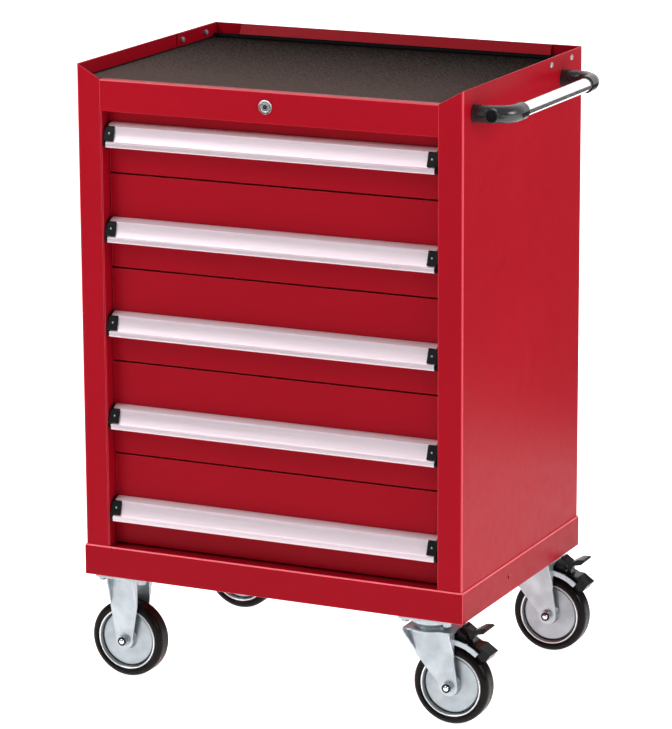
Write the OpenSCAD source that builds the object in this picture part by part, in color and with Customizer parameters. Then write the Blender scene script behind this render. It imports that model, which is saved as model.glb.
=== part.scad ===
// Rolling tool chest: a five-drawer steel cabinet on two rigid and two swivel casters.
// Millimetres. +X right, -Y front (drawer side), +Z up, floor at z = 0.
// The origin is on the floor, under the centre of the outer box.

/* [Cabinet] */
// Width of the cabinet body
cab_w = 650; // [640:5:700]
// Depth of the cabinet body
cab_d = 470; // [465:5:500]
// Sheet steel thickness
sheet = 1.5; // [1.2:0.1:2]
// Width of each front stile
stile_w = 40; // [38:1:46]
// Height of the rail above the drawers
rail_h = 50; // [45:1:60]
// Height of the tray walls above the mat
rim_h = 22; // [15:1:40]
// Thickness of the ribbed mat
mat_t = 4; // [3:0.5:5]
// Height of the base skirt
skirt_h = 48; // [44:1:70]
// How far the skirt stands out from the body
skirt_proud = 2; // [1.5:0.5:4]

/* [Drawers] */
// Front pitch of the shallow top drawer
shallow_h = 100; // [90:5:120]
// Front pitch of the deep drawers
deep_h = 150; // [130:5:160]
// Gap around each drawer front
front_gap = 3; // [2:0.5:4]
// How far the fronts sit behind the stiles
front_recess = 24; // [22:1:28]
// Depth of the folded edge of a drawer front
front_fold = 16; // [12:1:18]
// Sheet thickness of a drawer
drawer_sheet = 1; // [0.8:0.1:1.2]

/* [Slides] */
// Length of a slide member
slide_len = 390; // [370:5:390]
// Height of the outer slide member
slide_h = 44; // [40:1:46]
// Thickness of a complete slide
slide_t = 12.7; // [12.7:0.1:13.5]

/* [Pulls] */
// Height of the pull
pull_h = 38; // [34:1:40]
// How far the pull stands out from the drawer front
pull_reach = 23; // [20:0.5:24]
// Height of the pull's underside above the drawer's underside
pull_rise = 43; // [40:1:45]

/* [Handle] */
// Outer diameter of the push tube
tube_d = 22; // [20:1:24]
// Diameter of the moulded arms
arm_d = 27; // [26:1:32]
// Distance from the side wall to the tube's axis
handle_out = 56; // [54:1:70]
// Distance between the two arms' feet
arm_spacing = 350; // [300:10:360]

/* [Casters] */
// Wheel diameter
wheel_d = 125; // [100:5:125]
// Tyre width
tyre_w = 32; // [28:1:34]
// Overall caster height
caster_h = 170; // [168:1:180]
// Swivel trail, from the kingpin to the axle
trail = 36; // [30:1:38]
// Distance from the side to a swivel kingpin
kingpin_in = 64; // [60:1:80]
// Distance from the side to a rigid axle
rigid_in = 58; // [56:1:80]
// Distance from the front and the back to a caster's centre
caster_in = 35; // [35:1:60]

/* [Hidden] */
$fn = 48;
DRAWERS = [1, 2, 3, 4, 5];
SIDES = [-1, 1];

// Levels
base_t = 2;
sill_z = caster_h + skirt_h;
rail_z = sill_z + shallow_h + 4 * deep_h;
mat_z = rail_z + rail_h;
rim_z = mat_z + rim_h;
deck_z = mat_z - mat_t;

// Plan
half_w = cab_w / 2;
half_d = cab_d / 2;
open_w = cab_w - 2 * stile_w;
rear_flange = 50;
wheel_r = wheel_d / 2;
caster_y = half_d - caster_in;
rigid_x = half_w - rigid_in;
kingpin_x = half_w - kingpin_in;
right_end = half_w + handle_out + arm_d / 2;
left_end = max(half_w + skirt_proud, rigid_x + wheel_r);
row_x = (left_end - right_end) / 2;

// Drawers
front_y = -half_d + front_recess;
front_w = open_w - 2 * front_gap;
box_w = open_w - 2 * slide_t;
box_front_y = front_y + front_fold;
box_back_y = box_front_y + slide_len;
slide_y = box_front_y + 2;

// Lock
lock_z = mat_z - 24;
lock_r = 11;
plug_r = 6.44;
rod_r = 3;
rod_x = -half_w + 18;
rod_y = -half_d + 19;

// Tray
rail_lip = 13;
back_lean = 12;
back_fold_in = 50;
return_len = 140;
screw_y = [half_d - 127, half_d - 44];
screw_z = rim_z - 11.5;

// Handle
handle_z = rim_z - 39;
handle_y = -19;
handle_screw_r = 3;
bend_r = 31;
socket_len = 16;
arm_y = arm_spacing / 2;
tube_end_y = arm_y - bend_r - socket_len;

// Casters
plate_t = 4;
plate_w = 90;
plate_d = 70;
bolt_dx = 70;
bolt_dy = 50;
bolt_r = 4;
crown_z = caster_h - 19;
fork_t = 2.5;
fork_gap = 4;
fork_y = tyre_w / 2 + fork_gap;
axle_r = 6;
run_gap = 0.06;
boss_r = 15;
crown_r = 38;
front_run = 20;
front_drop = 42;
tread_t = 11.5;
rim_r = wheel_r - tread_t;
pedal_z = wheel_d + 13;

// Colours
red = [0.72, 0.06, 0.12];
dark_red = [0.62, 0.05, 0.11];
zinc = [0.68, 0.71, 0.74];
alloy = [0.86, 0.84, 0.86];
black = [0.07, 0.07, 0.07];

// ---- Helpers ----

// A block given by its lowest and highest corners
module block(low, high) {
    translate(low) cube(high - low);
}

// Everything is drawn about the cabinet's own centre line, then moved to the row's origin
module place() {
    translate([row_x, 0, 0]) children();
}

module at_wheel(x, y) {
    translate([x, y, wheel_r]) rotate([90, 0, 0]) children();
}

// A profile in the XZ plane, extruded along Y between y0 and y1
module along_y(y0, y1) {
    translate([0, y1, 0]) rotate([90, 0, 0]) linear_extrude(y1 - y0) children();
}

// A profile in the YZ plane, extruded along X between x0 and x1
module along_x(x0, x1) {
    translate([x0, 0, 0]) rotate([90, 0, 90]) linear_extrude(x1 - x0) children();
}

// The lowest level of drawer k: drawer 1 is the shallow one at the top
function drawer_z(k) = rail_z - shallow_h - (k - 1) * deep_h;
function drawer_h(k) = k == 1 ? shallow_h : deep_h;

// Height of the middle of drawer k's slides
function slide_z(k) = drawer_z(k) + drawer_h(k) / 2 - 5;

// ---- Cabinet shell ----

// The side wall with its front stile and its rear flange, drawn for the right side
module side_shape() {
    block([half_w - sheet, -half_d, caster_h + base_t], [half_w, half_d, rim_z]);
    along_y(-half_d, -half_d + sheet) polygon([
        [half_w - stile_w, caster_h + base_t], [half_w, caster_h + base_t],
        [half_w, rim_z], [half_w - stile_w, mat_z]
    ]);
    block([half_w - stile_w, -half_d, sill_z], [half_w - stile_w + sheet, -half_d + 30, rail_z]);
    block([half_w - rear_flange, half_d - sheet, caster_h + base_t], [half_w, half_d, rim_z]);
}

module side_screw_holes() {
    for (y = screw_y) translate([0, y, screw_z]) rotate([0, 90, 0]) cylinder(r = 2.6, h = half_w + 1);
}

module side_left() {
    color(red) place() difference() {
        mirror([1, 0, 0]) side_shape();
        mirror([1, 0, 0]) side_screw_holes();
    }
}

module side_right() {
    color(red) place() difference() {
        side_shape();
        side_screw_holes();
        for (s = SIDES) translate([half_w - sheet - 1, handle_y + s * arm_y, handle_z])
            rotate([0, 90, 0]) cylinder(r = handle_screw_r + 0.2, h = sheet + 2);
    }
}

module back_panel() {
    inside = half_w - sheet;
    color(red) place()
        block([-inside, half_d - 2 * sheet, caster_h + base_t], [inside, half_d - sheet, deck_z - sheet]);
}

module front_rail() {
    half = half_w - stile_w;
    color(red) place() difference() {
        union() {
            block([-half, -half_d, rail_z], [half, -half_d + sheet, mat_z]);
            block([-half, -half_d, mat_z - sheet], [half, -half_d + rail_lip, mat_z]);
            block([-half, -half_d, rail_z], [half, -half_d + 30, rail_z + sheet]);
            block([-half, -half_d + 30 - sheet, rail_z], [half, -half_d + 30, rail_z + 14]);
        }
        translate([0, -half_d - 1, lock_z]) rotate([-90, 0, 0]) cylinder(r = lock_r - 1.5, h = 4);
    }
}

module top_deck() {
    inside = half_w - sheet;
    color(red) place() {
        block([-inside, -half_d + sheet, deck_z - sheet], [inside, half_d - sheet, deck_z]);
        for (x = [-180, 0, 180])
            block([x - 15, -half_d + 40, deck_z - sheet - 12], [x + 15, half_d - 20, deck_z - sheet]);
    }
}

module bottom_panel() {
    inside = half_w - sheet;
    half = half_w - stile_w;
    color(red) place() {
        block([-inside, -half_d + sheet, sill_z - sheet], [inside, half_d - 2 * sheet, sill_z]);
        block([-half, -half_d, sill_z - sheet], [half, -half_d + sheet, sill_z]);
        block([-half, -half_d, sill_z - 16], [half, -half_d + sheet, sill_z]);
    }
}

module base_skirt() {
    x = half_w + skirt_proud;
    y = half_d + skirt_proud;
    color(red) place() difference() {
        block([-x, -y, caster_h], [x, y, sill_z]);
        block([-half_w, -half_d, caster_h + base_t], [half_w, half_d, sill_z + 1]);
        // One fixing hole low on each side
        for (s = SIDES) translate([s * (half_w + 1), -57, caster_h + 0.55 * skirt_h])
            rotate([0, 90, 0]) cylinder(r = 3.5, h = 8, center = true);
        for (s = SIDES) caster_bolt_spots(s) cylinder(r = bolt_r + 0.4, h = 20, center = true);
    }
}

// ---- Tray on top ----

// A strip behind the mat, with a returned end along each side wall and a leaning
// triangular fold in front of it
module tray_back_wall() {
    inside = half_w - sheet;
    y1 = half_d - sheet;
    y0 = y1 - sheet;
    color(red) place() difference() {
        union() {
            block([-inside, y0, deck_z], [inside, y1, rim_z]);
            for (s = SIDES) scale([s, 1, 1])
                block([inside - sheet, y1 - return_len, deck_z], [inside, y1, rim_z - 1]);
            along_x(-half_w + back_fold_in, half_w - back_fold_in) difference() {
                polygon([[y0, deck_z], [y0 - back_lean, deck_z], [y0 - 2, rim_z], [y0, rim_z]]);
                polygon([
                    [y0 - 0.01, deck_z + sheet], [y0 - back_lean + 2.4, deck_z + sheet],
                    [y0 - 2, rim_z - 4], [y0 - 0.01, rim_z - 4]
                ]);
            }
        }
        for (s = SIDES) scale([s, 1, 1]) side_screw_holes();
    }
}

module top_mat() {
    clear = 3;
    x = half_w - 2 * sheet - clear;
    y0 = -half_d + rail_lip;
    y1 = half_d - 2 * sheet - back_lean - clear;
    color([0.28, 0.25, 0.24]) place() block([-x, y0, deck_z], [x, y1, mat_z]);
}

// ---- Inside the cabinet ----

// Four channel posts that carry the slides
module uprights() {
    x0 = half_w - stile_w;
    x1 = half_w - sheet;
    color(zinc) place() for (s = SIDES, y = [slide_y + 20, slide_y + slide_len - 60])
        scale([s, 1, 1]) difference() {
            block([x0, y, sill_z], [x1, y + 30, deck_z - sheet - 14]);
            block([x0 + 2, y + 2, sill_z - 1], [x1 + 1, y + 28, deck_z]);
        }
}

// One slide member: a C section open towards the drawer, drawn for the right side.
// It lies between x and x - depth, h high, with its middle at height z.
module channel(x, depth, h, wall, z, y0, y1) {
    along_y(y0, y1) difference() {
        translate([x - depth, z - h / 2]) square([depth, h]);
        translate([x - depth - 1, z - h / 2 + wall]) square([depth - wall + 1, h - 2 * wall]);
    }
}

// The outer members, fixed to the uprights
module slide_rails() {
    color(zinc) place() for (k = DRAWERS, s = SIDES) scale([s, 1, 1])
        channel(open_w / 2, 8.5, slide_h, 1.4, slide_z(k), slide_y, slide_y + slide_len);
}

// The middle members, which travel half as far as the drawer
module slide_middle(k) {
    color(zinc) place() for (s = SIDES) scale([s, 1, 1])
        channel(open_w / 2 - 2.2, 7.5, slide_h - 7, 1.4, slide_z(k), slide_y + 1, slide_y + slide_len - 1);
}

// The inner members, fixed to the drawer's sides
module drawer_runners(k) {
    h = slide_h - 14;
    color(zinc) place() for (s = SIDES) scale([s, 1, 1]) along_y(slide_y + 2, slide_y + slide_len - 4)
        difference() {
            translate([box_w / 2, slide_z(k) - h / 2]) square([8, h]);
            translate([box_w / 2 + 1.4, slide_z(k) - h / 2 + 1.4]) square([8, h - 2.8]);
        }
}

// ---- Drawers ----

// An open steel box welded behind a folded front
module drawer_body(k) {
    z0 = drawer_z(k) + (k == 5 ? 4 : front_gap / 2);
    z1 = drawer_z(k) + drawer_h(k) - front_gap / 2;
    box_z0 = z0 + 10;
    box_z1 = z1 - 20;
    bw = box_w / 2;
    fw = front_w / 2;
    t = drawer_sheet;
    color(dark_red) place() {
        difference() {
            block([-fw, front_y, z0], [fw, box_front_y, z1]);
            block([-fw + t, front_y + t, z0 + t], [fw - t, box_front_y + 1, z1 - t]);
        }
        difference() {
            block([-bw, box_front_y - 2 * t, box_z0], [bw, box_back_y, box_z1]);
            block([-bw + t, box_front_y - t, box_z0 + t], [bw - t, box_back_y - t, box_z1 + 1]);
        }
        // Folded tabs that join the front to the box
        for (z = [z0, z1 - 14])
            block([-fw, box_front_y - t, z], [fw, box_front_y, z + 14]);
    }
}

// The outline of the pull, as [reach from the drawer front, height]
function pull_outline() = let (h = pull_h, r = pull_reach) concat(
    [[0, 0], [r - 3, 0]],
    [for (a = [-90:30:0]) [r - 3 + 3 * cos(a), 3 + 3 * sin(a)]],
    [[r, 8], [r - 2, 9.5], [r - 2.6, 10.5]],
    [for (t = [0:0.25:1]) [r - 2.6 - 6.4 * t - 1.2 * sin(180 * t), 10.5 + (h - 16) * t]],
    [[r - 12, h - 3.5], [r - 15, h - 1.5], [3, h], [0, h]]
);

// The hollow behind the pull's face, where fingers reach in from below
function pull_hollow() = let (h = pull_h, r = pull_reach) [
    [2, -1], [r - 2.4, -1], [r - 2.4, 8], [r - 5.4, 10.5],
    [r - 11.6, h - 7], [r - 16, h - 4], [2, h - 4]
];

module pull_section(points) {
    polygon([for (p = points) [front_y - p[0], p[1]]]);
}

// An extruded aluminium pull as wide as the opening
module drawer_pull(k) {
    half = front_w / 2 - 4.5;
    color(alloy) place() translate([0, 0, drawer_z(k) + pull_rise]) along_x(-half, half) difference() {
        pull_section(pull_outline());
        pull_section(pull_hollow());
    }
}

// The raised pad of a cap, which lies over the upper face of the pull
function cap_pad() = let (h = pull_h, r = pull_reach) [
    [r - 0.6, 11], [r - 0.2, 12.5], [r - 7, h - 6.5], [r - 9, h - 5], [r - 12.5, h - 5], [r - 6, 11]
];

// A moulded cap at each end of the pull: an end plate with a pad turned over the face
module drawer_pull_caps(k) {
    end = front_w / 2;
    color(black) place() translate([0, 0, drawer_z(k) + pull_rise]) for (s = SIDES) scale([s, 1, 1]) {
        along_x(end - 4.5, end - 0.5) union() {
            pull_section(pull_outline());
            pull_section(cap_pad());
        }
        along_x(end - 17, end - 4.5) difference() {
            pull_section(cap_pad());
            pull_section(pull_outline());
        }
    }
}

// ---- Lock ----

// The fixed barrel, with a chrome rose in front of the rail
module lock_housing() {
    color("silver") place() translate([0, -half_d, lock_z]) rotate([90, 0, 0]) difference() {
        union() {
            cylinder(r = lock_r, h = 2.5);
            translate([0, 0, -24]) cylinder(r = lock_r - 1.6, h = 24.5);
        }
        translate([0, 0, -25]) cylinder(r = plug_r + run_gap, h = 30);
    }
}

// The turning plug with its key slot in front and its cam behind
module lock_plug() {
    color("gainsboro") place() translate([0, -half_d, lock_z]) rotate([90, 0, 0]) difference() {
        union() {
            translate([0, 0, -28]) cylinder(r = plug_r, h = 30.2);
            translate([-3, -6, -30]) cube([6, 22, 2]);
        }
        translate([-0.9, -4, 1]) cube([1.8, 8, 2]);
    }
}

// The round rod behind the left stile, whose fingers swing towards the drawers as the key turns
module lock_rod() {
    finger_h = 12;
    color(zinc) place() translate([rod_x, rod_y, 0]) {
        translate([0, 0, sill_z + 4]) cylinder(r = rod_r, h = rail_z - sill_z + 8);
        for (k = DRAWERS)
            block([-1, -12, slide_z(k) + 26], [1, 0, slide_z(k) + 26 + finger_h]);
    }
}

// ---- Push handle ----

// A moulded elbow from the wall to the tube. dir is 1 when the tube leaves towards +Y.
module handle_arm(dir) {
    r = arm_d / 2;
    straight = handle_out - bend_r;
    at = [half_w, handle_y - dir * arm_y, handle_z];
    color(black) place() translate(at) scale([1, dir, 1]) difference() {
        union() {
            rotate([0, 90, 0]) cylinder(r = r + 1, h = 3);
            rotate([0, 90, 0]) cylinder(r = r, h = straight);
            translate([straight, bend_r, 0]) rotate([0, 0, -90]) rotate_extrude(angle = 90)
                translate([bend_r, 0]) circle(r);
            translate([handle_out, bend_r, 0]) rotate([-90, 0, 0]) cylinder(r = r, h = socket_len);
            // Flat round screw cap on the outside of the bend
            translate([straight + 8, -r + 4, 0]) rotate([90, 0, 0]) cylinder(r = 11, h = 5);
        }
        translate([handle_out, bend_r + 2, 0]) rotate([-90, 0, 0]) cylinder(r = tube_d / 2, h = socket_len);
        translate([-1, 0, 0]) rotate([0, 90, 0]) cylinder(r = handle_screw_r + 0.2, h = 22);
    }
}

module handle_tube() {
    half = tube_end_y + socket_len - 2;
    at = [half_w + handle_out, handle_y, handle_z];
    color("gainsboro") place() translate(at) rotate([90, 0, 0]) difference() {
        cylinder(r = tube_d / 2, h = 2 * half, center = true);
        cylinder(r = tube_d / 2 - 1.5, h = 2 * half + 2, center = true);
    }
}

// ---- Casters ----

// The four bolt positions of the casters on side s, at the level of the base plate
module caster_bolt_spots(s) {
    x = s < 0 ? -rigid_x : kingpin_x;
    for (c = SIDES, i = SIDES, j = SIDES)
        translate([x + i * bolt_dx / 2, c * caster_y + j * bolt_dy / 2, caster_h]) children();
}

// Top plate with its four bolt holes, centred on the caster
module caster_plate() {
    r = 6;
    translate([0, 0, caster_h - plate_t]) linear_extrude(plate_t) difference() {
        offset(r) square([plate_w - 2 * r, plate_d - 2 * r], center = true);
        for (i = SIDES, j = SIDES) translate([i * bolt_dx / 2, j * bolt_dy / 2]) circle(bolt_r + 0.4);
    }
}

// The cheek of a rigid bracket: a straight leg that narrows to the axle's boss
function rigid_cheek(top_z, half) = [
    [-half, top_z], [-half, top_z - 46], [-boss_r, wheel_r + 4], [0, wheel_r - boss_r + 1],
    [boss_r, wheel_r + 4], [half, top_z - 46], [half, top_z]
];

// The cheek of a swivel fork: its front edge slants back from the crown to the axle at x = trail
function swivel_cheek(top_z, left, right) = [
    [left, top_z], [left + front_run, top_z - front_drop], [trail - boss_r, wheel_r + 2],
    [trail, wheel_r - boss_r + 1], [trail + boss_r, wheel_r + 4], [right, top_z - 46], [right, top_z]
];

// Two cheeks around an axle at x = ax, with outward gussets along their edges
module cheeks(ax, outline, edges, gusset, gusset_h) {
    top_z = outline[0][1];
    for (s = SIDES) scale([1, s, 1]) {
        along_y(fork_y, fork_y + fork_t) difference() {
            union() {
                polygon(outline);
                translate([ax, wheel_r]) circle(boss_r);
            }
            translate([ax, wheel_r]) circle(axle_r);
        }
        for (x = edges) along_x(x, x + fork_t) polygon([
            [fork_y, top_z], [fork_y + gusset, top_z], [fork_y + gusset, top_z - 6],
            [fork_y + fork_t, top_z - gusset_h], [fork_y, top_z - gusset_h]
        ]);
    }
}

module rigid_brackets() {
    half = 24;
    rigid_gusset = plate_d / 2 - fork_y - 1;
    color(zinc) place() for (c = SIDES) translate([-rigid_x, c * caster_y, 0]) {
        caster_plate();
        cheeks(0, rigid_cheek(caster_h - plate_t, half), [-half, half - fork_t], rigid_gusset, 46);
    }
}

module rigid_axles() {
    color(zinc) place() for (c = SIDES) axle_at(-rigid_x, c * caster_y);
}

// An axle bolt with a hexagon head and nut outside the cheeks
module axle_at(x, y) {
    half = fork_y + fork_t;
    at_wheel(x, y) {
        cylinder(r = axle_r, h = 2 * half, center = true);
        for (s = SIDES) scale([1, 1, s]) {
            translate([0, 0, half]) cylinder(r = 10, h = 1.5);
            translate([0, 0, half + 1.5]) cylinder(r = 9, h = 5.5, $fn = 6);
            translate([0, 0, half + 7]) cylinder(r = 5, h = 2);
        }
    }
}

// The fixed halves of the two swivel casters: plate and upper ball race
module swivel_plates() {
    color(zinc) place() for (c = SIDES) translate([kingpin_x, c * caster_y, 0]) difference() {
        union() {
            caster_plate();
            translate([0, 0, crown_z + 4]) cylinder(r1 = 28, r2 = 34, h = 6);
            translate([0, 0, crown_z + 10]) cylinder(r = 34, h = 5);
        }
        translate([0, 0, crown_z]) cylinder(r = 8 + run_gap, h = 30);
    }
}

// The turning half: crown, cheeks, mudguard arms and kingpin
module caster_fork(c) {
    left = -crown_r;
    right = trail + 9;
    color(zinc) place() translate([kingpin_x, c * caster_y, 0]) {
        translate([0, 0, crown_z - 3]) linear_extrude(3) difference() {
            union() {
                circle(crown_r);
                translate([left, -30]) square([right - left, 60]);
            }
            circle(4);
        }
        translate([0, 0, crown_z]) cylinder(r = 27, h = 3.6);
        translate([0, 0, crown_z]) cylinder(r = 8, h = 18);
        cheeks(trail, swivel_cheek(crown_z, left, right), [right - fork_t], crown_r - fork_y, 34);
        for (s = SIDES) scale([1, s, 1]) front_gusset(left);
        for (s = SIDES) scale([1, s, 1]) along_y(fork_y, fork_y + fork_t) mudguard_outline();
    }
}

// A web along the fork's slanted front edge, from the crown's rim down the cheek
module front_gusset(left) {
    length = norm([front_run, front_drop]);
    slant = atan(front_run / front_drop);
    inset = 0.6;
    translate([left, 0, crown_z]) rotate([0, -slant, 0]) along_x(inset, inset + fork_t) polygon([
        [fork_y + inset, -2], [fork_y + 16, -2], [fork_y + 15, -8],
        [fork_y + fork_t - inset, 4 - length], [fork_y + inset, 4 - length]
    ]);
}

// An arm that follows the tyre behind the cheek
module mudguard_outline() {
    inner = wheel_r + 7;
    outer = wheel_r + 15;
    ring = [for (a = [90:-8:50]) [trail + outer * cos(a), wheel_r + outer * sin(a)]];
    back = [for (a = [50:8:90]) [trail + inner * cos(a), wheel_r + inner * sin(a)]];
    polygon(concat(ring, back));
}

module swivel_axle(c) {
    color(zinc) place() axle_at(kingpin_x + trail, c * caster_y);
}

// A rocking brake pedal: the lower pad is pressed to lock, the upper tab to release.
// Its points are [distance behind the kingpin, height above the top of the wheel].
module pedal_part(half, points) {
    along_y(-half, half) polygon([for (p = points) [p[0], wheel_d + p[1]]]);
}

module brake_pedal(c) {
    color(black) place() translate([kingpin_x, c * caster_y, 0]) {
        translate([trail, 0, pedal_z]) rotate([90, 0, 0]) cylinder(r = 6.5, h = 34, center = true);
        // Body, which hooks up behind the crown
        pedal_part(13, [
            [trail, 6.5], [57, 8.5], [68, 5.5], [68, 12], [62, 14], [61, 19],
            [50, 27.5], [47, 28], [47, 19], [trail, 19.5]
        ]);
        // Stem and counter tab
        pedal_part(9, [
            [66, 5], [73, 5], [71, 15], [74, 22], [71, 27], [58, 36], [54, 35],
            [55, 31], [66, 22.5], [65, 15]
        ]);
        // Release tab
        pedal_part(15, [[70, 19], [81, 25], [91, 27], [98, 34], [95, 36], [84, 35], [70, 27]]);
        // Foot pad
        pedal_part(16, [
            [64, 8.5], [70, -1], [82, -8], [88, -16.5], [95, -17], [103, -6], [86, 6], [72, 7]
        ]);
    }
}

// The wheel centre: a rim, a dished web and a hub that turns on the axle
module wheel_hub(x, y) {
    half_rim = tyre_w / 2 - 2;
    half_hub = fork_y - 0.5;
    profile = [
        [axle_r + run_gap, half_hub], [14, half_hub], [17, half_rim - 3], [rim_r - 8, half_rim - 4.5],
        [rim_r - 6.5, half_rim - 6], [rim_r - 4.5, half_rim - 6], [rim_r - 3.5, half_rim - 1],
        [rim_r - 1, half_rim], [rim_r, half_rim - 0.6]
    ];
    mirrored = [for (i = [len(profile) - 1:-1:0]) [profile[i][0], -profile[i][1]]];
    color(zinc) place() at_wheel(x, y) rotate_extrude($fn = 96) polygon(concat(profile, mirrored));
}

// The tyre: a flat tread with round shoulders
module wheel_tyre(x, y) {
    half = tyre_w / 2;
    round_r = 8;
    shoulder = [
        for (a = [0:15:90])
            [wheel_r - round_r + round_r * sin(a), half - round_r + round_r * cos(a)]
    ];
    upper = concat([[rim_r, half - 2]], [[rim_r + 1.5, half]], shoulder);
    lower = [for (i = [len(upper) - 1:-1:0]) [upper[i][0], -upper[i][1]]];
    color(black) place() at_wheel(x, y) rotate_extrude($fn = 96) polygon(concat(upper, lower));
}

// ---- Fasteners ----

// Sixteen caster bolts, four tray screws and the two handle screws
module fasteners() {
    color("silver") place() {
        for (s = SIDES) caster_bolt_spots(s) {
            translate([0, 0, base_t]) cylinder(r = 7, h = 5, $fn = 6);
            translate([0, 0, -plate_t - 6]) cylinder(r = bolt_r, h = plate_t + base_t + 6);
            translate([0, 0, -plate_t - 5]) cylinder(r = 7, h = 5, $fn = 6);
        }
        for (s = SIDES, y = screw_y) scale([s, 1, 1]) translate([half_w, y, screw_z]) rotate([0, 90, 0]) {
            cylinder(r1 = 4.6, r2 = 3.2, h = 1.8);
            translate([0, 0, -8]) cylinder(r = 2.5, h = 8);
            translate([0, 0, -2 * sheet - 4]) cylinder(r = 4.6, h = 4, $fn = 6);
        }
        for (s = SIDES) translate([half_w, handle_y + s * arm_y, handle_z]) rotate([0, 90, 0]) {
            translate([0, 0, -sheet - 5]) cylinder(r = 5.8, h = 5, $fn = 6);
            translate([0, 0, -sheet]) cylinder(r = handle_screw_r, h = 20);
        }
    }
}

// ---- Drawing ----

side_left();
side_right();
back_panel();
front_rail();
top_deck();
bottom_panel();
base_skirt();
tray_back_wall();
top_mat();
uprights();
slide_rails();
handle_arm(1);  // handle_arm_front
handle_arm(-1);  // handle_arm_rear
handle_tube();
lock_housing();
lock_plug();
lock_rod();
fasteners();
rigid_brackets();
rigid_axles();
swivel_plates();
for (k = DRAWERS) {
    drawer_body(k);
    drawer_pull(k);
    drawer_pull_caps(k);
    drawer_runners(k);
    slide_middle(k);
}
wheel_hub(-rigid_x, -caster_y);  // wheel_fl_hub
wheel_tyre(-rigid_x, -caster_y);  // wheel_fl_tyre
wheel_hub(-rigid_x, caster_y);  // wheel_rl_hub
wheel_tyre(-rigid_x, caster_y);  // wheel_rl_tyre
wheel_hub(kingpin_x + trail, -caster_y);  // wheel_fr_hub
wheel_tyre(kingpin_x + trail, -caster_y);  // wheel_fr_tyre
wheel_hub(kingpin_x + trail, caster_y);  // wheel_rr_hub
wheel_tyre(kingpin_x + trail, caster_y);  // wheel_rr_tyre
caster_fork(-1);  // caster_fr_fork
swivel_axle(-1);  // caster_fr_axle
brake_pedal(-1);  // caster_fr_brake_pedal
caster_fork(1);  // caster_rr_fork
swivel_axle(1);  // caster_rr_axle
brake_pedal(1);  // caster_rr_brake_pedal
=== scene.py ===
"""Looks for a rolling tool chest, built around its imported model. Metres, in the model's own frame."""
import math

import bpy
import bmesh
from mathutils import Matrix, Vector


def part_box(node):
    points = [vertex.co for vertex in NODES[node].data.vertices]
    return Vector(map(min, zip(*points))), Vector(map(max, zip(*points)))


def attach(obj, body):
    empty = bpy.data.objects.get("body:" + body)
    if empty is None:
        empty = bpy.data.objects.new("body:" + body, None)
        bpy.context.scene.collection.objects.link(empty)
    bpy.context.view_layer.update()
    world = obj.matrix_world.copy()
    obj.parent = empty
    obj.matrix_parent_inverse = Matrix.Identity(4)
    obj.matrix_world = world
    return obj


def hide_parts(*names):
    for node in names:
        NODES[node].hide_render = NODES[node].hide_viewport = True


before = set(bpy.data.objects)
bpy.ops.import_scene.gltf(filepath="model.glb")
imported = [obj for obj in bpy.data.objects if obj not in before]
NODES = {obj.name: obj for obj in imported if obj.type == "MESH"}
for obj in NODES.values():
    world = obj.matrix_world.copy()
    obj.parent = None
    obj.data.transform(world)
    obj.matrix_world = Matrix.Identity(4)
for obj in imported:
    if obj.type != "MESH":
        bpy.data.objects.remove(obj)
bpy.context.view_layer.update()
MM = 0.001
DRAWERS = (1, 2, 3, 4, 5)
CORNERS = ("fl", "rl", "fr", "rr")
ALONG_Y = (0, 1, 0)

# The folded sheet steel
SHEET = 1.5 * MM
FOLD_RADIUS = 2.4 * MM
FOLD_STEPS = 6
STILE_RETURN = 30 * MM
RAIL_FLANGE = 14 * MM

# The studio, in metres, and the camera
STAGE_REACH = 15
WALL_HEIGHT = 12
LENS_MM = 185.638
SENSOR_MM = 36
CAMERA_PLACE = (2.46532, -5.2456, 1.90979)
CAMERA_YAW, CAMERA_PITCH, CAMERA_ROLL = 0.44384, 0.23931, -0.00504


# ---- Shader helpers ----

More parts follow.
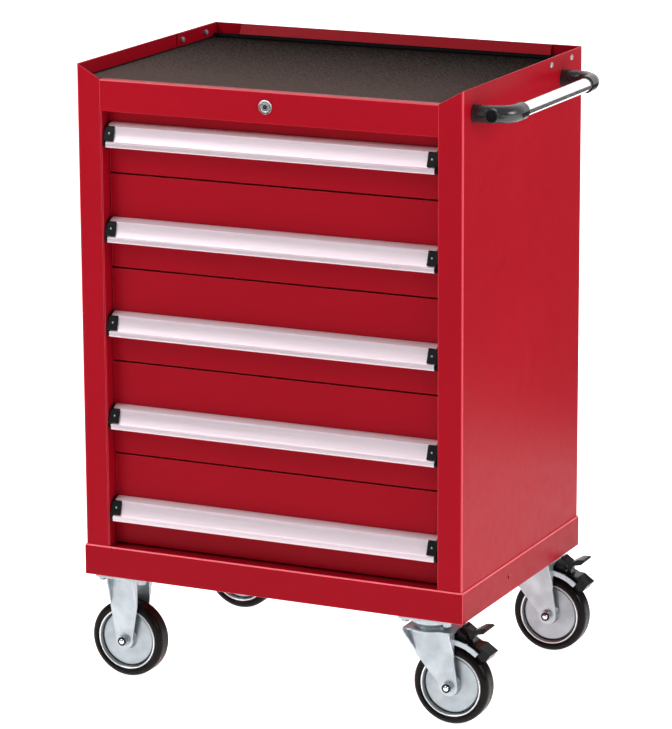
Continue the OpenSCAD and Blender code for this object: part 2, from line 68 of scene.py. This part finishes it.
class Shader:
    """A principled material whose nodes are added one after another. The values given first
    hold until a node is linked to the same input."""

    def __init__(self, name, colour, roughness, metallic=0.0, **sockets):
        self.material = bpy.data.materials.new(name)
        self.material.use_nodes = True
        self.tree = self.material.node_tree
        self.surface = self.tree.nodes["Principled BSDF"]
        self.surface.inputs["Base Color"].default_value = (*colour, 1)
        self.surface.inputs["Roughness"].default_value = roughness
        self.surface.inputs["Metallic"].default_value = metallic
        for socket, value in sockets.items():
            self.surface.inputs[socket.replace("_", " ")].default_value = value
        self.place = self.tree.nodes.new("ShaderNodeTexCoord").outputs["Object"]
        self.normal = None

    def node(self, kind, settings=None, **inputs):
        """A shader node with its settings, and each input a value or another node's output."""
        made = self.tree.nodes.new("ShaderNode" + kind)
        for key, value in (settings or {}).items():
            setattr(made, key, value)
        for key, value in inputs.items():
            socket = made.inputs[key.replace("_", " ")]
            if isinstance(value, bpy.types.NodeSocket):
                self.tree.links.new(value, socket)
            else:
                socket.default_value = value
        return made

    def stretched(self, x, y, z):
        """The object's coordinates with each axis scaled."""
        return self.node("Mapping", Vector=self.place, Scale=(x, y, z)).outputs["Vector"]

    def noise(self, scale, detail=3.0, roughness=0.5, vector=None):
        vector = vector or self.place
        made = self.node("TexNoise", Vector=vector, Scale=scale, Detail=detail, Roughness=roughness)
        return made.outputs["Fac"]

    def ramp(self, value, low, high, start=0.35, end=0.65):
        """value mapped from start..end to low..high, which are numbers."""
        made = self.node("MapRange", Value=value)
        made.inputs["From Min"].default_value = start
        made.inputs["From Max"].default_value = end
        made.inputs["To Min"].default_value = low
        made.inputs["To Max"].default_value = high
        return made.outputs["Result"]

    def mix(self, factor, first, second):
        """A colour between two, by factor."""
        made = self.node("Mix", {"data_type": "RGBA"})
        for socket, value in ((0, factor), (6, first), (7, second)):
            if isinstance(value, bpy.types.NodeSocket):
                self.tree.links.new(value, made.inputs[socket])
            else:
                made.inputs[socket].default_value = value if socket == 0 else (*value, 1)
        return made.outputs[2]

    def set(self, socket, value):
        """Feeds a node's output to one of the surface's inputs."""
        self.tree.links.new(value, self.surface.inputs[socket])

    def bump(self, height, distance, strength=1.0):
        """Adds a bump on top of those already there. distance is in metres."""
        made = self.node("Bump", Height=height, Distance=distance, Strength=strength)
        if self.normal:
            self.tree.links.new(self.normal, made.inputs["Normal"])
        self.normal = made.outputs["Normal"]
        self.set("Normal", self.normal)


def powder_coat(name, colour, gloss=0.05):
    """Powder coat: a fine orange peel, and a slow change of colour and gloss."""
    look = Shader(name, colour, 0.34, Specular_IOR_Level=gloss)
    darker = tuple(0.93 * c for c in colour)
    look.set("Base Color", look.mix(look.ramp(look.noise(2.2, 2), 0, 1), darker, colour))
    look.set("Roughness", look.ramp(look.noise(60, 3), 0.30, 0.38))
    look.bump(look.noise(900, 1), 0.00002, 0.25)
    return look.material


def satin_aluminium(name):
    """Anodised extrusion: drawn along X, with faint lines along its length."""
    look = Shader(name, (0.78, 0.70, 0.74), 0.34, 0.6)
    lines = look.noise(1.0, 4, 0.7, look.stretched(3, 2400, 2400))
    look.set("Roughness", look.ramp(lines, 0.42, 0.54))
    look.set("Base Color", look.mix(look.ramp(lines, 0, 1), (0.64, 0.53, 0.58), (0.76, 0.65, 0.70)))
    look.bump(lines, 0.00002, 0.4)
    return look.material


def moulded_black(name, roughness, level, depth=0.004):
    """Black moulded plastic with a fine spark-eroded grain. level is its specular level,
    and depth its colour."""
    look = Shader(name, (depth, depth, 1.1 * depth), roughness, Specular_IOR_Level=level)
    look.set("Roughness", look.ramp(look.noise(90, 2), roughness - 0.06, roughness + 0.06))
    look.bump(look.noise(2200, 2), 0.00003, 0.4)
    return look.material


def chrome(name, roughness=0.08):
    """Plated steel, a little duller in places."""
    look = Shader(name, (0.92, 0.92, 0.93), roughness, 0.9)
    look.set("Roughness", look.ramp(look.noise(40, 4), 0.8 * roughness, 1.5 * roughness))
    return look.material


def zinc_plate(name, shade=1.0):
    """Bright zinc: blue-grey, slightly blotchy, with fine handling marks."""
    look = Shader(name, (0.5, 0.54, 0.58), 0.34, 0.8)
    dull = tuple(shade * c for c in (0.38, 0.42, 0.45))
    bright = tuple(shade * c for c in (0.48, 0.53, 0.56))
    look.set("Base Color", look.mix(look.ramp(look.noise(38, 3), 0, 1), dull, bright))
    look.set("Roughness", look.ramp(look.noise(110, 3), 0.30, 0.42))
    look.bump(look.noise(500, 2), 0.00003, 0.25)
    return look.material


def tyre_rubber(name):
    """Brown-black rubber, a little dusty."""
    look = Shader(name, (0.003, 0.002, 0.002), 0.4, Specular_IOR_Level=0.12)
    dark_tone, light_tone = (0.002, 0.0014, 0.0012), (0.006, 0.004, 0.0034)
    look.set("Base Color", look.mix(look.ramp(look.noise(70, 4), 0, 1), dark_tone, light_tone))
    look.set("Roughness", look.ramp(look.noise(120, 3), 0.26, 0.40))
    look.bump(look.noise(900, 2), 0.00004, 0.3)
    return look.material


def mat_rubber(name):
    """Dull brown-black rubber, speckled, and lighter towards its front edge and a little
    towards its left."""
    look = Shader(name, (0.05, 0.043, 0.04), 0.8, Specular_IOR_Level=0.02)
    slant = look.node("VectorMath", {"operation": "DOT_PRODUCT"})
    look.tree.links.new(look.place, slant.inputs[0])
    slant.inputs[1].default_value = (0.105, 1, 0)
    front, back = -0.22, 0.20
    # Lighter towards the front edge and a little towards the left, with speckle on top
    lightness = look.node("Math", {"operation": "ADD"})
    look.tree.links.new(look.ramp(slant.outputs["Value"], 1.05, 0.02, front, back), lightness.inputs[0])
    look.tree.links.new(look.ramp(look.noise(320, 2, 0.6), -0.25, 0.25), lightness.inputs[1])
    dark_tone, light_tone = (0.006, 0.0045, 0.0035), (0.100, 0.070, 0.063)
    look.set("Base Color", look.mix(lightness.outputs[0], dark_tone, light_tone))
    look.bump(look.noise(1500, 2), 0.00008, 0.5)
    return look.material


# ---- Meshes ----

def piece(name, built, material, body, width=0.0, edge=None):
    """A finished bmesh as a named object on a body, with its edges softened by width in metres.
    edge is the material of folds and softened edges: a lighter red, the painted highlight on them."""
    mesh = bpy.data.meshes.new(name)
    bmesh.ops.recalc_face_normals(built, faces=built.faces)
    built.to_mesh(mesh)
    built.free()
    mesh.materials.append(material)
    made = bpy.data.objects.new(name, mesh)
    bpy.context.scene.collection.objects.link(made)
    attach(made, body)
    soften(made, width, edge)
    return made


def skin(built, rows, closed=False):
    """Joins rows of points into a tube: each row is one loop round it. The ends are capped,
    or joined if closed. Returns the faces along the tube."""
    rows = [[built.verts.new(point) for point in row] for row in rows]
    pairs = list(zip(rows, rows[1:])) + ([(rows[-1], rows[0])] if closed else [])
    made = []
    for first, second in pairs:
        for i, corner in enumerate(first):
            j = (i + 1) % len(first)
            made.append(built.faces.new((corner, first[j], second[j], second[i])))
    if not closed:
        built.faces.new(rows[0])
        built.faces.new(rows[-1])
    return made


def circle(radius, steps):
    """Points round a circle in the plane."""
    angles = [math.tau * i / steps for i in range(steps)]
    return [(radius * math.cos(angle), radius * math.sin(angle)) for angle in angles]


def turned(built, profile, centre, axis, closed=False, steps=64):
    """Adds a body of revolution about an axis through centre. profile is points in millimetres,
    each a radius and a distance along the axis."""
    turn = Vector(axis).to_track_quat("Z", "X").to_matrix()
    rows = []
    for radius, along in profile:
        rows.append([centre + turn @ (Vector((x, y, along)) * MM) for x, y in circle(radius, steps)])
    skin(built, rows, closed)


def rounded_path(corners, radius, steps=FOLD_STEPS):
    """A path's points in the plane, with each square corner between its ends turned into an arc."""
    path = [Vector(corners[0])]
    for before, corner, after in zip(corners, corners[1:], corners[2:]):
        back = (Vector(before) - Vector(corner)).normalized()
        ahead = (Vector(after) - Vector(corner)).normalized()
        centre = Vector(corner) + radius * (back + ahead)
        for i in range(steps + 1):
            angle = math.pi / 2 * i / steps
            path.append(centre - radius * (ahead * math.cos(angle) + back * math.sin(angle)))
    path.append(Vector(corners[-1]))
    return path


def folded_sheet(built, corners, hand, sweep, bright_folds=0):
    """Adds a folded sheet. corners is the outside of its section. Its thickness lies on the left
    of that path where hand is 1, and on the right where it's -1. sweep(point, end) places a
    section point at end 0 or 1. The first bright_folds folds take the edge material, a lighter
    red that paints a highlight on those bends."""
    path = rounded_path(corners, FOLD_RADIUS)
    rows = []
    for i, point in enumerate(path):
        along = (path[min(i + 1, len(path) - 1)] - path[max(i - 1, 0)]).normalized()
        inside = point + hand * SHEET * Vector((-along.y, along.x))
        rows.append([sweep(point, 0), sweep(point, 1), sweep(inside, 1), sweep(inside, 0)])
    for i, face in enumerate(skin(built, rows)):
        # Each flat strip, which is step 0, is followed by the FOLD_STEPS strips of a fold
        fold, step = divmod(i // len(rows[0]), FOLD_STEPS + 1)
        # Fold faces marked 1 take the lighter red of the painted highlight
        face.material_index = 1 if step > 0 and fold < bright_folds else 0


# ---- The cabinet's folded sheets ----

def side_sheet(name, side, material, edge):
    """The wall, its front stile with a sloping top, its rear flange, and the stile's return
    beside the drawers."""
    low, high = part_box(name)
    rail_low, rail_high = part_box("front_rail")
    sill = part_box("bottom_panel")[1].z
    wall, flange = (high.x, low.x) if side > 0 else (low.x, high.x)
    inner = rail_high.x if side > 0 else rail_low.x

    def upright(point, end):
        top = high.z
        if point.y < 0:
            top = rail_high.z + (high.z - rail_high.z) * abs(point.x - inner) / abs(wall - inner)
        return Vector((point.x, point.y, top if end else low.z))

    def beside_drawers(point, end):
        return Vector((point.x, point.y, rail_low.z if end else sill))

    built = bmesh.new()
    outline = [(inner, low.y), (wall, low.y), (wall, high.y), (flange, high.y)]
    # Both folds of the wall get the painted highlight
    folded_sheet(built, outline, side, upright, bright_folds=2)
    folded_sheet(built, [(inner, low.y + STILE_RETURN), (inner, low.y + SHEET)], -side, beside_drawers)
    made = piece(name + "_sheet", built, material, "root", 0.4 * MM, edge)
    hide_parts(name)


def rail_sheet(material, edge):
    """The rail over the drawers: a lip under the mat's edge, the face, and a flange behind its foot."""
    low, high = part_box("front_rail")
    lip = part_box("top_mat")[0].y
    face = [(lip, high.z), (low.y, high.z), (low.y, low.z)]
    flange = [(high.y, low.z), (high.y, low.z + RAIL_FLANGE)]

    def across(point, end):
        return Vector((high.x if end else low.x, point.x, point.y))

    built = bmesh.new()
    # Only the lip's fold gets the painted highlight; the folds under the rail stay plain red
    folded_sheet(built, face + flange, 1, across, bright_folds=1)
    made = piece("front_rail_sheet", built, material, "root", 0.3 * MM, edge)
    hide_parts("front_rail")


def skirt_hem(material):
    """A rolled hem along the skirt's upper edge, in a light red that is a painted highlight along that
    edge.
    """
    low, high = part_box("base_skirt")
    radius, rise, steps = 1.4 * MM, 0.4 * MM, 10
    x0, x1, y0, y1 = low.x + radius, high.x - radius, low.y + radius, high.y - radius
    middle = (x0 + x1) / 2
    corners = [(middle, y0), (x1, y0), (x1, y1), (x0, y1), (x0, y0), (middle, y0)]
    path = rounded_path(corners, FOLD_RADIUS)[:-1]
    rows = []
    for before, point, after in zip([path[-1]] + path[:-1], path, path[1:] + path[:1]):
        along = (after - before).normalized()
        out = Vector((along.y, -along.x, 0))
        spot = Vector((point.x, point.y, high.z + rise))
        rows.append([spot + out * x + Vector((0, 0, z)) for x, z in circle(radius, steps)])
    built = bmesh.new()
    skin(built, rows, closed=True)
    piece("base_skirt_hem", built, material, "root")


# ---- The mat, the wheels and small parts ----

def ribbed_mat(material):
    """The rubber mat, with fine ribs that run from front to back."""
    low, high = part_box("top_mat")
    pitch, depth = 6 * MM, 1.6 * MM
    count = round((high.x - low.x) / pitch)
    rib = [(0.0, 1), (0.18, 1), (0.28, 0.3), (0.38, 0), (0.8, 0), (0.9, 0.3)]
    stations = [((i + along) / count, drop) for i in range(count) for along, drop in rib] + [(1.0, 1)]
    rows = []
    for along, drop in stations:
        x = low.x + along * (high.x - low.x)
        z = high.z - drop * depth
        top = [Vector((x, low.y, z)), Vector((x, high.y, z))]
        rows.append(top + [Vector((x, high.y, low.z)), Vector((x, low.y, low.z))])
    built = bmesh.new()
    skin(built, rows)
    made = piece("ribbed_mat", built, material, "root")
    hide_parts("top_mat")


def mat_painted_shade_strips(material):
    """Dark rubber strips round the mat that stand for the shade in its gaps, a painted shade: low along
    the walls, and taller under the fold at the back.
    """
    low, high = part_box("top_mat")
    wall = 3 * MM
    top = high.z + 1.5 * MM
    back_foot, back_top = high.z + 3 * MM, high.z + 7 * MM
    built = bmesh.new()
    for x0 in (low.x, high.x - wall):
        side = [(x0, low.z), (x0, top), (x0 + wall, top), (x0 + wall, low.z)]
        skin(built, [[Vector((x, y, z)) for x, z in side] for y in (low.y, high.y)])
    y0, y1 = high.y - wall, high.y + wall
    back = [(y0, low.z), (y0, back_foot), (y1, back_top), (y1, low.z)]
    skin(built, [[Vector((x, y, z)) for y, z in back] for x in (low.x, high.x)])
    piece("mat_painted_shade_strips", built, material, "root", 0.8 * MM)


def tyre_profile(outer, inner, half):
    """A tyre's section in millimetres: a flat tread with a parting line, round shoulders,
    and a bead next to the rim."""
    shoulder = 8
    arc = [math.radians(degrees) for degrees in range(0, 91, 10)]
    corner = [(outer - shoulder * (1 - math.cos(angle)), half - shoulder * (1 - math.sin(angle)))
              for angle in arc]
    side = [(outer - 0.15, 0), (outer - 0.15, 0.3), (outer, 0.7)] + corner
    bead = [(2.4, 0), (2.0, 0.8), (1.2, 0.8), (0.6, 0), (0, 1.5)]
    side += [(inner + out, half - drop) for out, drop in bead]
    return side[::-1] + [(radius, -along) for radius, along in side[1:]]


def dress_wheel(corner, materials):
    """The tyre, a bead of bright metal on the rim that is a painted highlight, a black ring laid in
    the groove inside it that is a painted shade, and a dome and a ring on each end of the axle.
    Distances are in millimetres."""
    body = "wheel_" + corner
    low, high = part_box(body + "_tyre")
    centre = (low + high) / 2
    outer = (high.z - low.z) / 2 / MM
    half = (high.y - low.y) / 2 / MM
    rim = (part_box(body + "_hub")[1].z - centre.z) / MM
    tyre = bmesh.new()
    turned(tyre, tyre_profile(outer, rim, half), centre, ALONG_Y, closed=True, steps=96)
    made = piece(body + "_tread", tyre, materials["tyre"], body)
    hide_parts(body + "_tyre")
    bead, groove = bmesh.new(), bmesh.new()
    bead_at, bead_radius, bead_depth, bead_steps = rim - 2.1, 1.1, 2, 12
    near, far = rim - 6.4, rim - 4.6
    for side in (-1, 1):
        face = side * (half - bead_depth)
        ring = [(bead_at + out, face + along) for out, along in circle(bead_radius, bead_steps)]
        turned(bead, ring, centre, ALONG_Y, closed=True, steps=96)
        top, floor = side * (half - 7.9), side * (half - 8.3)
        trough = [(near, top), (far, top), (far, floor), (near, floor)]
        turned(groove, trough, centre, ALONG_Y, closed=True, steps=96)
    # The bead's bright metal is a painted highlight on the rim, and the black ring in the groove a
    # painted shade
    piece(body + "_bead", bead, materials["painted highlight metal"], body)
    piece(body + "_groove_painted_shade", groove, materials["tyre"], body)
    axle_low, axle_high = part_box("caster_fr_axle")
    reach = (axle_high.y - axle_low.y) / 2
    domes, washers = bmesh.new(), bmesh.new()
    for side in (-1, 1):
        end = centre + Vector((0, side * reach, 0))
        turned(domes, dome(4.2, 1.6), end, (0, side, 0), steps=32)
        turned(washers, dome(7.0, 0.2, 0.4), end, (0, side, 0), steps=32)
    fork = "caster_" + corner if corner[1] == "r" else "root"
    piece(body + "_axle_domes", domes, materials["chrome"], fork)
    piece(body + "_axle_rings", washers, materials["black"], fork)


def dome(radius, height, sink=0.6):
    """The profile of a domed head whose edge sits sink deep, in millimetres."""
    arc = [math.radians(degrees) for degrees in range(0, 86, 15)]
    crown = [(radius * math.cos(angle), height * math.sin(angle)) for angle in arc]
    return [(radius, -sink)] + crown + [(0.05, height)]


def cap_screws(number, material):
    """A small domed screw on each end cap's pad, square to its sloping face."""
    low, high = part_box(f"drawer_{number}_pull_caps")
    inset, depth, height = 9 * MM, 3.5 * MM, 22.5 * MM
    out_of_pad = (0, -19, 6.8)
    built = bmesh.new()
    for x in (low.x + inset, high.x - inset):
        spot = Vector((x, low.y + depth, low.z + height))
        turned(built, dome(1.6, 0.4), spot, out_of_pad, steps=24)
    piece(f"drawer_{number}_cap_screws", built, material, f"drawer_{number}")


def key_shutter(material):
    """The dark shutter round the key slot, in the middle of the lock's plug."""
    low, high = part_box("lock_housing")
    middle = (low + high) / 2
    face = Vector((middle.x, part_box("lock_plug")[0].y, middle.z))
    profile = [(0.9, -0.5), (3.4, -0.5), (3.4, 0.1), (2.8, 0.25), (0.9, 0.1)]
    built = bmesh.new()
    turned(built, profile, face, (0, -1, 0), closed=True, steps=32)
    piece("lock_key_shutter", built, material, "lock_key_plug")


def handle_plugs(material):
    """A dark plug in the round face on the outside of each handle bend."""
    bend = 33 * MM
    built = bmesh.new()
    for name, side in (("handle_arm_front", -1), ("handle_arm_rear", 1)):
        low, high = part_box(name)
        y = low.y if side < 0 else high.y
        spot = Vector((low.x + bend, y, (low.z + high.z) / 2))
        turned(built, dome(9.0, 0.6, 0.5), spot, (0, side, 0), steps=48)
    piece("handle_plugs", built, material, "root")


# ---- The CAD nodes' finishes ----

def soften(node, width, edge=None, angle=30):
    """Rounds an object's edges with a small bevel, after welding split corners, and shades it by
    its large faces. edge is the material of the bevels, which on red parts is a lighter red: a painted
    highlight."""
    if edge:
        node.data.materials.append(edge)
    for face in node.data.polygons:
        face.use_smooth = True
    weld = node.modifiers.new("weld", "WELD")
    weld.merge_threshold = 0.00001
    if width:
        bevel = node.modifiers.new("edges", "BEVEL")
        bevel.width = width
        bevel.segments = 2
        bevel.limit_method = "ANGLE"
        bevel.angle_limit = math.radians(angle)
        bevel.material = 1 if edge else -1
    shade = node.modifiers.new("shade", "WEIGHTED_NORMAL")
    shade.keep_sharp = True
    shade.weight = 90


def finish_of(materials):
    """The material and the edge width in millimetres of each CAD node. The first row whose
    word is in the node's name is the one it takes."""
    return [
        # The drawers take a darker copy of the red, a painted shade
        ("_body", materials["painted shade red"], 0.45),
        ("pull_caps", materials["black"], 0.5),
        ("_pull", materials["aluminium"], 0.35),
        ("handle_arm", materials["arm black"], 0.5),
        ("handle_tube", materials["chrome"], 0.4),
        ("lock_", materials["chrome"], 0.3),
        ("_hub", materials["zinc"], 0.3),
        ("pedal", materials["black"], 0.9),
        # Fasteners, forks and brackets take a lighter copy of the zinc, a painted highlight
        ("fasteners", materials["painted highlight zinc"], 0.3),
        ("rigid_", materials["painted highlight zinc"], 0.5),
        ("swivel_", materials["painted highlight zinc"], 0.5),
        ("caster_", materials["painted highlight zinc"], 0.5),
        ("slide", materials["zinc"], 0.25),
        ("_runners", materials["zinc"], 0.25),
        ("uprights", materials["zinc"], 0.4),
        # The skirt also takes the darker red of the painted shade
        ("base_skirt", materials["painted shade red"], 0.7),
        ("", materials["red"], 0.7),
    ]


def dress_nodes(materials):
    """Gives each CAD node its material and its soft edges, which on red parts take a lighter red, a
    painted highlight.
    """
    table = finish_of(materials)
    for name, node in NODES.items():
        material, width = next(row[1:] for row in table if row[0] in name)
        node.data.materials.clear()
        node.data.materials.append(material)
        painted = material in (materials["red"], materials["painted shade red"])
        # On red nodes the bevels take the lighter red of the painted highlight
        soften(node, width * MM, materials["painted highlight red"] if painted else None)


# ---- Stage, light and camera ----

def flat_sheet(name, corners, material):
    """A four-cornered sheet that is part of the studio."""
    mesh = bpy.data.meshes.new(name)
    mesh.from_pydata([Vector(c) for c in corners], [], [(0, 1, 2, 3)])
    mesh.materials.append(material)
    made = bpy.data.objects.new(name, mesh)
    bpy.context.scene.collection.objects.link(made)
    return made


def dark_flag(name, corners, material):
    """A black card that only reflections see: it keeps glare off the paint."""
    card = flat_sheet(name, corners, material)
    card.visible_camera = False
    card.visible_diffuse = False
    card.visible_shadow = False
    card.visible_transmission = False


def floor_and_walls(material):
    """A white floor, and walls at its edge that don't light the object."""
    near, far = -STAGE_REACH, STAGE_REACH
    ring = [(near, near, 0), (far, near, 0), (far, far, 0), (near, far, 0)]
    flat_sheet("floor", ring, material)
    for i, (x0, y0, foot) in enumerate(ring):
        x1, y1, _ = ring[(i + 1) % len(ring)]
        corners = [(x0, y0, foot), (x1, y1, foot), (x1, y1, WALL_HEIGHT), (x0, y0, WALL_HEIGHT)]
        wall = flat_sheet(f"backdrop_{i}", corners, material)
        wall.visible_diffuse = False
        wall.visible_glossy = False
        wall.visible_shadow = False


def make_sky(fade=0.8):
    """A sky that is brighter overhead and behind the object. Each ramp ends at fade."""
    world = bpy.data.worlds.new("studio")
    bpy.context.scene.world = world
    world.use_nodes = True
    tree = world.node_tree
    sky = tree.nodes["Background"]
    sky.inputs["Color"].default_value = (1, 1, 1, 1)
    split = tree.nodes.new("ShaderNodeSeparateXYZ")
    tree.links.new(tree.nodes.new("ShaderNodeTexCoord").outputs["Generated"], split.inputs[0])
    total = tree.nodes.new("ShaderNodeMath")
    total.operation = "ADD"
    for i, (axis, dim, bright) in enumerate((("Z", 0.1, 0.45), ("Y", 0.0, 1.0))):
        rise = tree.nodes.new("ShaderNodeMapRange")
        rise.inputs["From Min"].default_value = 0.0
        rise.inputs["From Max"].default_value = fade
        rise.inputs["To Min"].default_value = dim
        rise.inputs["To Max"].default_value = bright
        tree.links.new(split.outputs[axis], rise.inputs["Value"])
        tree.links.new(rise.outputs["Result"], total.inputs[i])
    tree.links.new(total.outputs[0], sky.inputs["Strength"])


def make_stage():
    """The floor, the walls, a black card before the object and one behind it, and the sky."""
    pale = Shader("white_paper", (0.95, 0.95, 0.95), 0.7, Specular_IOR_Level=0.1)
    pale.surface.inputs["Emission Color"].default_value = (1, 1, 1, 1)
    pale.surface.inputs["Emission Strength"].default_value = 1.0
    floor_and_walls(pale.material)
    black = Shader("black_card", (0.01, 0.01, 0.01), 0.9, Specular_IOR_Level=0.0).material
    lying = [(-6, -1.0, 0.002), (2, -1.0, 0.002), (2, -6, 0.002), (-6, -6, 0.002)]
    standing = [(0.4, 1.2, 0.06), (2.4, 1.2, 0.06), (2.4, 1.2, 0.85), (0.4, 1.2, 0.85)]
    dark_flag("flag_front", lying, black)
    dark_flag("flag_back", standing, black)
    make_sky()


def area_light(name, place, target, watts, size=1.6):
    """A square light at place that faces target."""
    light = bpy.data.lights.new(name, "AREA")
    light.shape = "RECTANGLE"
    light.size = size
    light.size_y = size
    light.energy = watts
    made = bpy.data.objects.new(name, light)
    made.location = place
    made.rotation_euler = (Vector(target) - Vector(place)).to_track_quat("-Z", "Y").to_euler()
    bpy.context.scene.collection.objects.link(made)


def make_lights():
    """The key from the front left, a fill from the right, and a weak light on the pulls."""
    middle, pulls = (0, 0, 0.5), (0, -0.25, 0.7)
    area_light("key", (-2.4, -2.4, 3.6), middle, 92)
    area_light("fill", (3.8, -0.7, 2.2), middle, 70)
    area_light("pull_light", (-1.4, -3.0, 1.7), pulls, 5)


def make_camera():
    """A long lens from the front right, a little above the top."""
    data = bpy.data.cameras.new("camera")
    camera = bpy.data.objects.new("camera", data)
    bpy.context.scene.collection.objects.link(camera)
    data.sensor_width = SENSOR_MM
    data.lens = LENS_MM
    data.clip_end = 100
    turn = Matrix.Rotation(CAMERA_YAW, 4, "Z")
    turn @= Matrix.Rotation(math.pi / 2 - CAMERA_PITCH, 4, "X")
    turn @= Matrix.Rotation(CAMERA_ROLL, 4, "Z")
    camera.matrix_world = Matrix.Translation(CAMERA_PLACE) @ turn
    bpy.context.scene.camera = camera


# ---- The scene ----

def make_materials():
    """Every material, by the name that the functions above know it by."""
    return {
        "red": powder_coat("red_powder_coat", (0.32, 0.003, 0.011)),
        # A darker copy of the red: painted shade on the recessed drawer fronts and the low skirt
        "painted shade red": powder_coat("red_powder_coat_painted_shade", (0.29, 0.0025, 0.010)),
        # A lighter, glossier copy of the red: the painted highlight on folds and rounded edges
        "painted highlight red": powder_coat("red_painted_edge_highlight", (0.62, 0.035, 0.055), 0.5),
        # A still lighter red for the skirt's hem, a painted highlight
        "painted highlight hem red": powder_coat("red_painted_hem_highlight", (0.85, 0.10, 0.13), 0.5),
        "aluminium": satin_aluminium("satin_aluminium"),
        "black": moulded_black("black_plastic", 0.28, 0.15),
        "arm black": moulded_black("satin_black_plastic", 0.26, 0.6, 0.014),
        "chrome": chrome("chrome_plate"),
        "zinc": zinc_plate("zinc_plate", 0.8),
        # A lighter copy of the zinc: a painted highlight on the forks, brackets and fasteners
        "painted highlight zinc": zinc_plate("zinc_plate_painted_highlight", 0.98),
        # A bright metal for the rim's bead, a painted highlight
        "painted highlight metal": chrome("rim_metal_painted_highlight", 0.32),
        "tyre": tyre_rubber("tyre_rubber"),
        "mat": mat_rubber("ribbed_mat"),
        # Black strips round the mat, a painted shade in the gaps along the walls and under the back
        # fold
        "painted shade strip": moulded_black("painted_shade_strip_rubber", 0.75, 0.03),
    }


def main():
    bpy.context.scene.view_settings.view_transform = "Standard"
    materials = make_materials()
    dress_nodes(materials)
    side_sheet("side_left", -1, materials["red"], materials["painted highlight red"])
    side_sheet("side_right", 1, materials["red"], materials["painted highlight red"])
    rail_sheet(materials["red"], materials["painted highlight red"])
    skirt_hem(materials["painted highlight hem red"])
    ribbed_mat(materials["mat"])
    mat_painted_shade_strips(materials["painted shade strip"])
    for corner in CORNERS:
        dress_wheel(corner, materials)
    for number in DRAWERS:
        cap_screws(number, materials["zinc"])
    key_shutter(materials["black"])
    handle_plugs(materials["black"])
    make_stage()
    make_lights()
    make_camera()


main()
